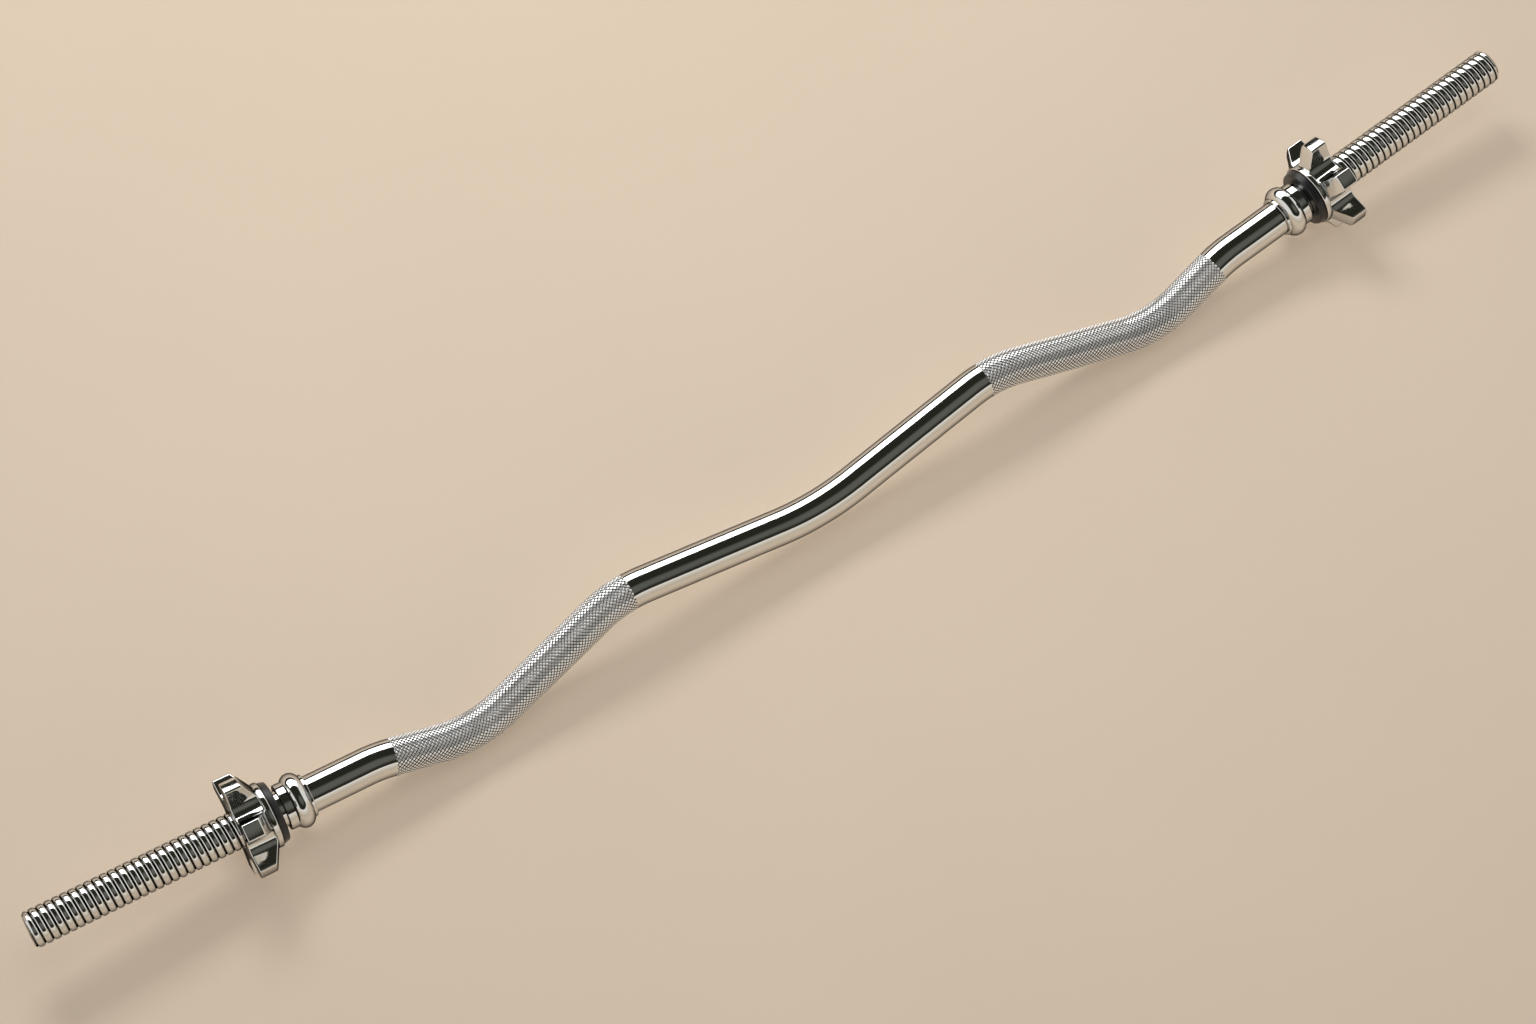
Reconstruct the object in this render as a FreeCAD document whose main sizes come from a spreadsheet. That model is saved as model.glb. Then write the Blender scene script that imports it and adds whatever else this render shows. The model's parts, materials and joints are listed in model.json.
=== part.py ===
import FreeCAD, Part
import Sketcher
import math
import os

# EZ curl bar: one bent steel bar with two knurled grips and threaded ends, two inner
# collars held by cross pins, and on each end a six-lobed spin-lock nut with a rubber ring.
# The bar lies as it comes to rest on a floor: on the two outer dips and the two nuts.

doc = FreeCAD.newDocument("ez_curl_bar")
dims = doc.addObject("Spreadsheet::Sheet", "dims")

# Driving dimensions in millimetres and degrees.
SIZES = (
    # bent bar: runs go from bend corner to bend corner, slopes are against its long axis
    ("bar_diameter", 25.4),
    ("centre_run", 155.0),
    ("grip_run", 131.0),
    ("outer_run", 70.0),
    ("sleeve_run", 248.0),
    ("centre_slope", 9.0),
    ("grip_slope", 16.2),
    ("outer_slope", 17.5),
    ("sleeve_slope", 5.7),
    ("centre_bend_radius", 200.0),
    ("bend_radius", 90.0),
    ("tip_chamfer", 1.8),
    # knurled grips: from the sleeve bend to the place on the peak with this slope
    ("knurl_height", 0.4),
    ("grip_end_slope", 1.5),
    # rolled thread of the ends, which stops short of the collar's face by a plain length
    ("thread_pitch", 5.5),
    ("thread_depth", 1.3),
    ("plain_length", 7.0),
    ("groove_mouth", 2.1),
    ("groove_floor", 0.9),
    ("thread_clearance", 0.35),
    ("cut_overrun", 0.8),
    # inner collars: the loading length runs from the bar's tip to the collar's face
    ("loading_length", 178.0),
    ("neck_wall", 3.3),
    ("neck_length", 4.6),
    ("bulb_wall", 6.5),
    ("bulb_width", 13.4),
    ("rim_wall", 2.1),
    ("rim_length", 1.6),
    ("collar_edge", 0.6),
    ("collar_clearance", 0.02),
    # cross pins of the collars
    ("pin_diameter", 4.0),
    ("pin_seat_depth", 8.0),
    ("pin_recess", 1.2),
    ("pin_chamfer", 0.4),
    ("pin_clearance", 0.02),
    # rubber rings: walls go from the bore outwards
    ("ring_gap", 3.4),
    ("ring_thickness", 5.0),
    ("ring_back_wall", 8.8),
    ("ring_front_wall", 7.3),
    ("ring_edge", 1.2),
    ("ring_bore_clearance", 0.5),
    ("shoulder_wall", 4.8),
    ("shoulder_length", 2.6),
    ("seat_clearance", 0.3),
    # star nuts: the hub's and flange's walls go from the ring's recess outwards
    ("hub_wall", 2.7),
    ("flange_wall", 4.7),
    ("flange_thickness", 4.0),
    ("bevel_length", 7.6),
    ("lobe_thickness", 12.0),
    ("lobe_height", 15.5),
    ("lobe_count", 6),
    ("valley_radius", 8.5),
    ("lobe_corner", 1.6),
    ("lobe_edge", 0.8),
    ("bore_chamfer", 1.2),
    # tilt of the bar's plane at which the dips and the nuts both meet the floor
    ("rest_tilt", 52.7),
)
for row, (alias, value) in enumerate(SIZES, start=1):
    dims.set("A%d" % row, alias)
    dims.set("B%d" % row, str(value))
    dims.setAlias("B%d" % row, alias)
doc.recompute()

X_AXIS = FreeCAD.Vector(1, 0, 0)
Y_AXIS = FreeCAD.Vector(0, 1, 0)
Z_AXIS = FreeCAD.Vector(0, 0, 1)
ORIGIN = FreeCAD.Vector(0, 0, 0)
FULL_TURN, HALF_TURN, QUARTER_TURN = 360.0, 180.0, 90.0
NEAR = 1e-4
LEAST_CUT_SHARE = 0.2
SIDES = ("right", "left")
BAR_RADIUS = "dims.bar_diameter / 2"


def size(expression):
    """Present value of a sheet expression, as a plain number."""
    return float(dims.evalExpression(expression.replace("dims.", "")))


def turned(axis, angle):
    """Placement that only turns, by an angle in degrees."""
    return FreeCAD.Placement(ORIGIN, FreeCAD.Rotation(axis, angle))


def moved(x=0.0, y=0.0, z=0.0):
    """Placement that only moves."""
    return FreeCAD.Placement(FreeCAD.Vector(x, y, z), FreeCAD.Rotation())


def tilt():
    """Turn of the whole bar about its long axis to where it rests."""
    return turned(X_AXIS, size("rest_tilt"))


def bind_constraint(sketch, constraint, name, expression):
    """Add a dimension to a sketch, name it and tie it to the sheet."""
    sketch.renameConstraint(sketch.addConstraint(constraint), name)
    sketch.setExpression("Constraints." + name, expression)


def origin_item(body, role):
    """Origin plane or axis of a body, found by its role."""
    return next(item for item in body.Origin.OriginFeatures if item.Role == role)


def body_sketch(body, name, role):
    """Empty sketch on one of a body's origin planes."""
    sketch = body.newObject("Sketcher::SketchObject", name)
    sketch.AttachmentSupport = [(origin_item(body, role), "")]
    sketch.MapMode = "FlatFace"
    return sketch


def tie_point(sketch, line, end, across, along, name):
    """Tie a line's end to two expressions for its place from the sketch's origin."""
    places = (("DistanceX", "_x", -2, across), ("DistanceY", "_y", -1, along))
    for kind, suffix, axis, expression in places:
        if expression == "0":
            sketch.addConstraint(Sketcher.Constraint("PointOnObject", line, end, axis))
        else:
            place = Sketcher.Constraint(kind, -1, 1, line, end, size(expression))
            bind_constraint(sketch, place, name + suffix, expression)


def closed_outline(sketch, corners):
    """Closed chain of lines through corners, each a pair of expressions of the sheet."""
    places = [FreeCAD.Vector(size(across), size(along), 0) for across, along in corners]
    for start, end in zip(places, places[1:] + places[:1]):
        sketch.addGeometry(Part.LineSegment(start, end), False)
    count = len(corners)
    for line in range(count):
        sketch.addConstraint(Sketcher.Constraint("Coincident", line, 2, (line + 1) % count, 1))
    for line, (across, along) in enumerate(corners):
        tie_point(sketch, line, 1, across, along, "corner%d" % line)


def revolved_body(name, corners):
    """Body turned about its Z axis from an outline of radius and height."""
    body = doc.addObject("PartDesign::Body", name)
    outline = body_sketch(body, name + "_outline", "XZ_Plane")
    closed_outline(outline, corners)
    turning = body.newObject("PartDesign::Revolution", name + "_turning")
    turning.Profile = outline
    turning.ReferenceAxis = (outline, ["V_Axis"])
    turning.Angle = FULL_TURN
    body.Tip = turning
    return body


# Bent bar. Half of its centre line runs from the middle to the tip in the bar's plane, with X
# along the bar and Y towards the peaks. Each bend gives its radius, the slope after it and the
# run that follows, from this bend's corner to the next.
BENDS = (
    ("centre_bend_radius", "centre_slope", 1, "centre_run"),
    ("bend_radius", "grip_slope", -1, "grip_run"),
    ("bend_radius", "outer_slope", 1, "outer_run"),
    ("bend_radius", "sleeve_slope", 1, "sleeve_run"),
)
CENTRE_BEND, PEAK_BEND, DIP_BEND, SLEEVE_BEND = range(len(BENDS))
THREAD_LENGTH = "(dims.loading_length - dims.plain_length)"


def along_slope(slope):
    """Direction in the bar's plane at a slope in degrees."""
    return turned(Z_AXIS, slope).multVec(X_AXIS)


def bend_corners():
    """Corners of the centre line before its bends are rounded: the middle, the bends, the tip."""
    corners = [FreeCAD.Vector(0, 0, 0)]
    for _, slope, sign, run in BENDS:
        corners.append(corners[-1] + along_slope(sign * size(slope)) * size(run))
    return corners


def bend_slopes():
    """Slope before and after each bend; the first bend starts level, in the middle."""
    after = [sign * size(slope) for _, slope, sign, _ in BENDS]
    return list(zip([-after[0]] + after[:-1], after))


def bend_point(bend, slope):
    """Point of a rounded bend where the centre line has a slope."""
    before, after = bend_slopes()[bend]
    side = math.copysign(size(BENDS[bend][0]), after - before)
    reach = abs(side) * math.tan(math.radians(abs(after - before) / 2))
    start = bend_corners()[bend] - along_slope(before) * reach
    centre = start + along_slope(before + QUARTER_TURN) * side
    return centre - along_slope(slope + QUARTER_TURN) * side


def bend_arc(bend, first_slope, last_slope):
    """Edge along a bend between two slopes."""
    slopes = (first_slope, (first_slope + last_slope) / 2, last_slope)
    return Part.Arc(*(bend_point(bend, slope) for slope in slopes)).toShape()


def centre_line(first_bend, first_slope, last_bend):
    """Wire of bends and straight stretches, up to the start of the last bend or of the thread."""
    edges, slopes = [], bend_slopes()
    sleeve = along_slope(size("sleeve_slope"))
    thread_start = bend_corners()[-1] - sleeve * size(THREAD_LENGTH)
    for bend in range(first_bend, last_bend):
        start_slope = first_slope if bend == first_bend else slopes[bend][0]
        end_slope = slopes[bend][1]
        edges.append(bend_arc(bend, start_slope, end_slope))
        if bend + 1 < len(BENDS):
            run_end = bend_point(bend + 1, end_slope)
        else:
            run_end = thread_start
        edges.append(Part.LineSegment(bend_point(bend, end_slope), run_end).toShape())
    return Part.Wire(edges)


def swept_rod(name, wire, start_slope, radius):
    """Round rod along a wire of the bar's plane; its radius is an expression of the sheet."""
    path = doc.addObject("Part::Feature", name + "_path")
    path.Shape = wire
    section = doc.addObject("Part::Circle", name + "_section")
    section.setExpression("Radius", radius)
    start = moved(*wire.OrderedVertexes[0].Point)
    section.Placement = start * turned(Z_AXIS, start_slope) * turned(Y_AXIS, QUARTER_TURN)
    rod = doc.addObject("Part::Sweep", name)
    rod.Sections = [section]
    rod.Spine = (path, ["Edge%d" % (i + 1) for i in range(len(wire.Edges))])
    rod.Solid = True
    return rod


def tip_placement(side):
    """Frame of a sleeve on the untilted bar: origin at the tip, Z along the sleeve, outwards."""
    tip = bend_corners()[-1]
    right = moved(*tip) * turned(Z_AXIS, size("sleeve_slope")) * turned(Y_AXIS, QUARTER_TURN)
    return right if side == "right" else turned(Y_AXIS, HALF_TURN) * right


# A helix in edges of one turn each sweeps to short faces, which cut cleanly at any size.
TURNS_PER_EDGE = 1


def helical_cutter(name, corners, height, placement):
    """Solid of a thread outline, of radius and height, swept along a right-hand helix."""
    helix = doc.addObject("Part::Helix", name + "_helix")
    helix.setExpression("Pitch", "dims.thread_pitch")
    helix.setExpression("Height", height)
    helix.setExpression("Radius", BAR_RADIUS)
    helix.SegmentLength = TURNS_PER_EDGE
    outline = doc.addObject("Sketcher::SketchObject", name + "_outline")
    outline.Placement = turned(X_AXIS, QUARTER_TURN)
    closed_outline(outline, corners)
    doc.recompute()
    cutter = doc.addObject("Part::Sweep", name)
    cutter.Sections = [outline]
    cutter.Spine = (helix, ["Edge%d" % (i + 1) for i in range(len(helix.Shape.Edges))])
    cutter.Solid = True
    cutter.Frenet = True
    cutter.Placement = placement
    return cutter


# Groove of the bar's thread and the space between the ridges of the nut's thread. The ridge
# keeps the thread clearance to the groove's floor and flanks.
GROOVE_RADIUS = BAR_RADIUS + " - dims.thread_depth"
FLARE = "(dims.groove_mouth - dims.groove_floor) / dims.thread_depth"
OUTER_GROOVE = "dims.groove_mouth + dims.cut_overrun * " + FLARE
RIDGE_TIP = "dims.groove_floor + dims.thread_clearance * (%s - 2)" % FLARE
RIDGE_ROOT = "dims.groove_mouth + dims.thread_clearance * (%s - 2)" % FLARE
NUT_BORE_RADIUS = GROOVE_RADIUS + " + dims.thread_clearance"
NUT_THREAD_RADIUS = BAR_RADIUS + " + dims.thread_clearance"


def half_width(width, sign):
    """Expression for half of a width to one side of the middle."""
    return "%s(%s) / 2" % (sign, width)


def make_threaded_end():
    """Straight end of the bar in its sleeve's frame: chamfered at the tip and threaded.

    The groove's cutter runs out a turn past both ends.
    """
    end = revolved_body("threaded_end_blank", [
        ("0", "-" + THREAD_LENGTH),
        (BAR_RADIUS, "-" + THREAD_LENGTH),
        (BAR_RADIUS, "-dims.tip_chamfer"),
        (BAR_RADIUS + " - dims.tip_chamfer", "0"),
        ("0", "0"),
    ])
    groove = helical_cutter("groove", [
        (GROOVE_RADIUS, half_width("dims.groove_floor", "-")),
        (BAR_RADIUS + " + dims.cut_overrun", half_width(OUTER_GROOVE, "-")),
        (BAR_RADIUS + " + dims.cut_overrun", half_width(OUTER_GROOVE, "")),
        (GROOVE_RADIUS, half_width("dims.groove_floor", "")),
    ], THREAD_LENGTH + " + 2 * dims.thread_pitch", moved(z=-size(THREAD_LENGTH + " + thread_pitch")))
    threaded = doc.addObject("Part::Cut", "threaded_end")
    threaded.Base, threaded.Tool = end, groove
    return threaded


PIN_HOLE_RADIUS = "dims.pin_diameter / 2 + dims.pin_clearance"


def pin_placement(side):
    """Frame of a collar's cross pin: origin on the bar's axis, Z towards the pin's outer end."""
    depth = size("loading_length + neck_length + bulb_width / 2")
    return tip_placement(side) * moved(z=-depth) * turned(X_AXIS, QUARTER_TURN)


def pin_hole(side):
    """Blind hole in the bar for a cross pin."""
    hole = doc.addObject("Part::Cylinder", side + "_pin_hole")
    hole.setExpression("Radius", PIN_HOLE_RADIUS)
    hole.setExpression("Height", "dims.pin_seat_depth + dims.cut_overrun")
    hole.Placement = pin_placement(side) * moved(z=size("bar_diameter / 2 - pin_seat_depth"))
    return hole


def make_bar():
    """Bar bent from round stock, with raised grips, threaded ends and blind pin holes."""
    half = swept_rod("half_bar", centre_line(CENTRE_BEND, 0.0, len(BENDS)), 0.0, BAR_RADIUS)
    grip_slope = size("grip_end_slope")
    grip_wire = centre_line(PEAK_BEND, grip_slope, SLEEVE_BEND)
    grip = swept_rod("grip", grip_wire, grip_slope, BAR_RADIUS + " + dims.knurl_height")
    gripped = doc.addObject("Part::Fuse", "half_bar_gripped")
    gripped.Base, gripped.Tool = half, grip
    mirrored = doc.addObject("Part::Mirroring", "half_bar_mirrored")
    mirrored.Source = gripped
    mirrored.Normal = X_AXIS
    threaded = make_threaded_end()
    blank = doc.addObject("Part::MultiFuse", "bar_blank")
    blank.Shapes = [gripped, mirrored]
    for side in SIDES:
        end = doc.addObject("Part::Compound", side + "_threaded_end")
        end.Links = [threaded]
        end.Placement = tip_placement(side)
        blank.Shapes += [end]
    blank.Refine = True
    holes = doc.addObject("Part::Compound", "pin_holes")
    holes.Links = [pin_hole(side) for side in SIDES]
    bar = doc.addObject("Part::Cut", "bar")
    bar.Base, bar.Tool = blank, holes
    return bar


# Inner collar: a turned ring with a round bulb on the grip side and a narrower neck whose face
# stops the plates. It is pushed on the bar and held by a cross pin. Heights run from the face
# of the neck towards the grip.
COLLAR_BORE = BAR_RADIUS + " + dims.collar_clearance"


def make_collar(side):
    """Collar turned from its outline and its bulb's, then drilled for its cross pin."""
    bore = COLLAR_BORE
    neck, rim = bore + " + dims.neck_wall", bore + " + dims.rim_wall"
    bulb_start = "dims.neck_length"
    bulb_end = "dims.neck_length + dims.bulb_width"
    full_length = bulb_end + " + dims.rim_length"
    name = side + "_inner_collar"
    collar = revolved_body(name, [
        (bore, "0"),
        (neck + " - dims.collar_edge", "0"),
        (neck, "dims.collar_edge"),
        (neck, bulb_start + " + dims.collar_edge"),
        (rim, bulb_end + " - dims.collar_edge"),
        (rim, full_length + " - dims.collar_edge"),
        (rim + " - dims.collar_edge", full_length),
        (bore, full_length),
    ])
    doc.recompute()
    bulb = body_sketch(collar, name + "_bulb_outline", "XZ_Plane")
    add_bulb_outline(bulb, bore, bulb_start, bulb_end)
    turning = collar.newObject("PartDesign::Revolution", name + "_bulb")
    turning.Profile = bulb
    turning.ReferenceAxis = (bulb, ["V_Axis"])
    turning.Angle = FULL_TURN
    drill = body_sketch(collar, name + "_drill", "XZ_Plane")
    middle = "dims.neck_length + dims.bulb_width / 2"
    centre = FreeCAD.Vector(0, size(middle), 0)
    drill.addGeometry(Part.Circle(centre, Z_AXIS, size(PIN_HOLE_RADIUS)), False)
    drill.addConstraint(Sketcher.Constraint("PointOnObject", 0, 3, -2))
    height = Sketcher.Constraint("DistanceY", -1, 1, 0, 3, size(middle))
    bind_constraint(drill, height, "height", middle)
    radius = Sketcher.Constraint("Radius", 0, size(PIN_HOLE_RADIUS))
    bind_constraint(drill, radius, "radius", PIN_HOLE_RADIUS)
    hole = collar.newObject("PartDesign::Pocket", name + "_pin_hole")
    hole.Profile = drill
    hole.Type = "ThroughAll"
    collar.Tip = hole
    return collar


def add_bulb_outline(sketch, bore, start, end):
    """Outline of a round bulb: an arc over the bore between two heights."""
    low = FreeCAD.Vector(size(bore), size(start), 0)
    high = FreeCAD.Vector(size(bore), size(end), 0)
    crest = (low + high) / 2 + X_AXIS * size("bulb_wall")
    arc = Part.Arc(low, crest, high)
    sketch.addGeometry(arc, False)
    sketch.addGeometry(Part.LineSegment(high, low), False)
    first = 1 if arc.StartPoint.isEqual(low, NEAR) else 2
    sketch.addConstraint(Sketcher.Constraint("Coincident", 0, first, 1, 2))
    sketch.addConstraint(Sketcher.Constraint("Coincident", 0, 3 - first, 1, 1))
    tie_point(sketch, 1, 1, bore, end, "high")
    tie_point(sketch, 1, 2, bore, start, "low")
    radius = "(dims.bulb_wall + dims.bulb_width ^ 2 / (4 * dims.bulb_wall)) / 2"
    bind_constraint(sketch, Sketcher.Constraint("Radius", 0, size(radius)), "radius", radius)


# Cross pin: a hardened dowel with chamfered ends, sunk a little below the bulb's crest.
def make_pin(side):
    """Pin turned from its outline; heights run from the bar's axis to its outer end."""
    radius, chamfer = "dims.pin_diameter / 2", "dims.pin_chamfer"
    start = BAR_RADIUS + " - dims.pin_seat_depth + dims.pin_clearance"
    end = COLLAR_BORE + " + dims.bulb_wall - dims.pin_recess"
    return revolved_body(side + "_collar_pin", [
        ("0", start),
        (radius + " - " + chamfer, start),
        (radius, start + " + " + chamfer),
        (radius, end + " - " + chamfer),
        (radius + " - " + chamfer, end),
        ("0", end),
    ])


# Rubber ring: a tapered ring with a shoulder that sits in the nut's recess. Heights run from
# its face towards the nut.
RING_BORE = BAR_RADIUS + " + dims.ring_bore_clearance"
SHOULDER_RADIUS = RING_BORE + " + dims.shoulder_wall"


def make_ring(side):
    """Ring moulded to its outline, all round."""
    bore, shoulder = RING_BORE, SHOULDER_RADIUS
    front, back = bore + " + dims.ring_front_wall", bore + " + dims.ring_back_wall"
    edge, thickness = "dims.ring_edge", "dims.ring_thickness"
    return revolved_body(side + "_rubber_ring", [
        (bore, "0"),
        (front + " - " + edge, "0"),
        (front, edge),
        (back, thickness + " - " + edge),
        (back, thickness),
        (shoulder, thickness),
        (shoulder, thickness + " + dims.shoulder_length"),
        (bore, thickness + " + dims.shoulder_length"),
    ])


# Star nut: a cast nut with a round flange on the plate side and lobes cut out by round valleys.
# Heights run from the flange's face, which lies against the rubber ring, to the outer face.
NUT_FACE = "dims.loading_length - dims.ring_gap - dims.ring_thickness - dims.seat_clearance"
NUT_LENGTH = "dims.flange_thickness + dims.bevel_length + dims.lobe_thickness"
RECESS_RADIUS = SHOULDER_RADIUS + " + dims.seat_clearance"
VALLEY_ROOT = RECESS_RADIUS + " + dims.hub_wall"
LOBE_TIP = VALLEY_ROOT + " + dims.lobe_height"
THREAD_RUNOUT_TURNS = 2


def nut_placement(side):
    """Frame of a nut on its sleeve, turned so that a valley points down at the floor."""
    along = tip_placement(side) * moved(z=-size(NUT_FACE))
    down = (tilt() * along).Rotation.inverted().multVec(-Z_AXIS)
    return along * turned(Z_AXIS, math.degrees(math.atan2(down.y, down.x)))


def nut_outline():
    """Half section of the nut before its valleys are cut: radius and height."""
    recess_depth = "dims.shoulder_length + dims.seat_clearance"
    flange = RECESS_RADIUS + " + dims.flange_wall"
    return [
        (NUT_BORE_RADIUS, recess_depth + " + dims.bore_chamfer"),
        (NUT_BORE_RADIUS + " + dims.bore_chamfer", recess_depth),
        (RECESS_RADIUS, recess_depth),
        (RECESS_RADIUS, "0"),
        (flange, "0"),
        (flange, "dims.flange_thickness"),
        (LOBE_TIP, "dims.flange_thickness + dims.bevel_length"),
        (LOBE_TIP, NUT_LENGTH),
        (NUT_BORE_RADIUS + " + dims.bore_chamfer", NUT_LENGTH),
        (NUT_BORE_RADIUS, NUT_LENGTH + " - dims.bore_chamfer"),
    ]


def add_valley_outline(sketch):
    """U-shaped valley on the X axis: an arc at the root and flanks along the lobes beside it."""
    spread = math.radians(HALF_TURN / size("lobe_count"))
    radius, middle = size("valley_radius"), VALLEY_ROOT + " + dims.valley_radius"
    centre = X_AXIS * size(middle)
    reach = LOBE_TIP + " + dims.cut_overrun"
    turn = math.pi / 2 + spread
    circle = Part.Circle(centre, Z_AXIS, radius)
    sketch.addGeometry(Part.ArcOfCircle(circle, turn, 2 * math.pi - turn), False)
    ends = []
    for sign in (1, -1):
        start = centre + FreeCAD.Vector(math.cos(turn), sign * math.sin(turn), 0) * radius
        rise = (size(reach) - start.x) * math.tan(spread)
        ends.append(FreeCAD.Vector(size(reach), start.y + sign * rise, 0))
        sketch.addGeometry(Part.LineSegment(start, ends[-1]), False)
    sketch.addGeometry(Part.LineSegment(*ends), False)
    add = sketch.addConstraint
    add(Sketcher.Constraint("PointOnObject", 0, 3, -1))
    round_root = Sketcher.Constraint("Radius", 0, radius)
    bind_constraint(sketch, round_root, "radius", "dims.valley_radius")
    bind_constraint(sketch, Sketcher.Constraint("DistanceX", -1, 1, 0, 3, centre.x), "middle", middle)
    add(Sketcher.Constraint("Tangent", 0, 1, 1, 1))
    add(Sketcher.Constraint("Tangent", 0, 2, 2, 1))
    add(Sketcher.Constraint("Coincident", 1, 2, 3, 1))
    add(Sketcher.Constraint("Coincident", 2, 2, 3, 2))
    add(Sketcher.Constraint("Vertical", 3))
    mouth = Sketcher.Constraint("DistanceX", -1, 1, 1, 2, size(reach))
    bind_constraint(sketch, mouth, "reach", reach)
    slope = Sketcher.Constraint("Angle", 1, spread)
    bind_constraint(sketch, slope, "spread", "180 deg / dims.lobe_count")


def rounded(body, name, base, edges, radius):
    """Fillet on the edges of a body's feature that a test picks out."""
    doc.recompute()
    fillet = body.newObject("PartDesign::Fillet", name)
    names = ["Edge%d" % i for i, edge in enumerate(base.Shape.Edges, start=1) if edges(edge)]
    fillet.Base = (base, names)
    fillet.setExpression("Radius", radius)
    body.Tip = fillet
    return fillet


def from_axis(place):
    """Distance of a place from the Z axis."""
    return math.hypot(place.x, place.y)


def make_nut(side):
    """Nut turned from its outline, with its valleys cut, its lobes rounded and its bore threaded."""
    name = side + "_star_nut"
    body = revolved_body(name + "_blank", nut_outline())
    valley = body_sketch(body, name + "_valley_outline", "XY_Plane")
    valley.setExpression("AttachmentOffset.Base.z", "dims.flange_thickness")
    add_valley_outline(valley)
    doc.recompute()
    cut = body.newObject("PartDesign::Pocket", name + "_valley")
    cut.Profile = valley
    cut.Type = "ThroughAll"
    cut.Reversed = True
    valleys = body.newObject("PartDesign::PolarPattern", name + "_valleys")
    valleys.Originals = [cut]
    valleys.Axis = (valley, ["N_Axis"])
    valleys.Angle = FULL_TURN
    valleys.setExpression("Occurrences", "dims.lobe_count")
    body.Tip = valleys
    tip, outer = size(LOBE_TIP), size(NUT_LENGTH)

    def is_corner(edge):
        first, last = edge.Vertexes[0].Point, edge.Vertexes[-1].Point
        upright = abs(first.z - last.z) > NEAR and from_axis(first - last) < NEAR
        return upright and abs(from_axis(first) - tip) < NEAR

    def is_outer_edge(edge):
        box = edge.BoundBox
        return abs(box.ZMin - outer) < NEAR and abs(box.ZMax - outer) < NEAR and not edge.isClosed()

    corners = rounded(body, name + "_corners", valleys, is_corner, "dims.lobe_corner")
    rounded(body, name + "_edges", corners, is_outer_edge, "dims.lobe_edge")
    nut = doc.addObject("Part::Cut", name)
    nut.Base, nut.Tool = body, nut_thread_cutter(side)
    return nut


def nut_thread_cutter(side):
    """Space between the ridges of the nut's thread, in mesh with the bar's groove."""
    space_tip = "dims.thread_pitch - (%s)" % RIDGE_TIP
    space_root = "dims.thread_pitch - (%s)" % RIDGE_ROOT
    inner = NUT_BORE_RADIUS + " - dims.cut_overrun"
    corners = [
        (inner, half_width(space_tip, "-")),
        (NUT_BORE_RADIUS, half_width(space_tip, "-")),
        (NUT_THREAD_RADIUS, half_width(space_root, "-")),
        (NUT_THREAD_RADIUS, half_width(space_root, "")),
        (NUT_BORE_RADIUS, half_width(space_tip, "")),
        (inner, half_width(space_tip, "")),
    ]
    pitch = size("thread_pitch")
    first_crest = pitch / 2 - size(THREAD_LENGTH)
    turns_back = math.ceil((first_crest + size(NUT_FACE)) / pitch) + THREAD_RUNOUT_TURNS
    start = tip_placement(side) * moved(z=first_crest - turns_back * pitch)
    placement = nut_placement(side).inverse() * start
    height = "%s + 2 * %d * dims.thread_pitch" % (NUT_LENGTH, THREAD_RUNOUT_TURNS)
    return helical_cutter(side + "_nut_thread", corners, height, placement)


# Every sub-part with its place on the untilted bar.
TOWARDS_GRIP = turned(X_AXIS, HALF_TURN)
pieces = [(make_bar(), FreeCAD.Placement())]
for side in SIDES:
    tip = tip_placement(side)
    pieces += [
        (make_collar(side), tip * moved(z=-size("loading_length")) * TOWARDS_GRIP),
        (make_pin(side), pin_placement(side)),
        (make_ring(side), tip * moved(z=-size("loading_length - ring_gap"))),
        (make_nut(side), nut_placement(side)),
    ]
doc.recompute()

for item in doc.Objects:
    if "Invalid" in item.State or "Error" in item.State:
        raise RuntimeError("%s did not build: %s" % (item.Label, item.State))
    if item.TypeId == "Part::Cut":
        before = item.Base
        least_cut = LEAST_CUT_SHARE * item.Tool.Shape.Volume
    elif item.TypeId in ("PartDesign::Pocket", "PartDesign::PolarPattern"):
        before = item.BaseFeature
        least_cut = NEAR
    else:
        continue
    if before.Shape.Volume - item.Shape.Volume < least_cut:
        raise RuntimeError("%s cut too little" % item.Label)

# The bar is tilted to its rest and moved until the middle of its underside is at the origin.
for piece, place in pieces:
    piece.Placement = tilt() * place
boxes = [piece.Shape.optimalBoundingBox(False, False) for piece, _ in pieces]
lowest = min(box.ZMin for box in boxes)
middle = (min(box.YMin for box in boxes) + max(box.YMax for box in boxes)) / 2
for piece, place in pieces:
    piece.Placement = moved(y=-middle, z=-lowest) * tilt() * place

for piece, _ in pieces:
    if piece.Shape.isNull() or not piece.Shape.isValid() or len(piece.Shape.Solids) != 1:
        raise RuntimeError("%s is not one valid solid" % piece.Label)
os.makedirs("parts", exist_ok=True)
for piece, _ in pieces:
    piece.Shape.exportStep("parts/%s.step" % piece.Label)
    box = piece.Shape.optimalBoundingBox(False, False)
    print("%-20s volume %9.0f  x %8.2f %8.2f  y %7.2f %7.2f  z %7.2f %7.2f" % (
        piece.Label, piece.Shape.Volume, box.XMin, box.XMax, box.YMin, box.YMax, box.ZMin, box.ZMax))
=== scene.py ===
import json

import bpy
import numpy as np
from mathutils import Matrix, Vector


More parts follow.
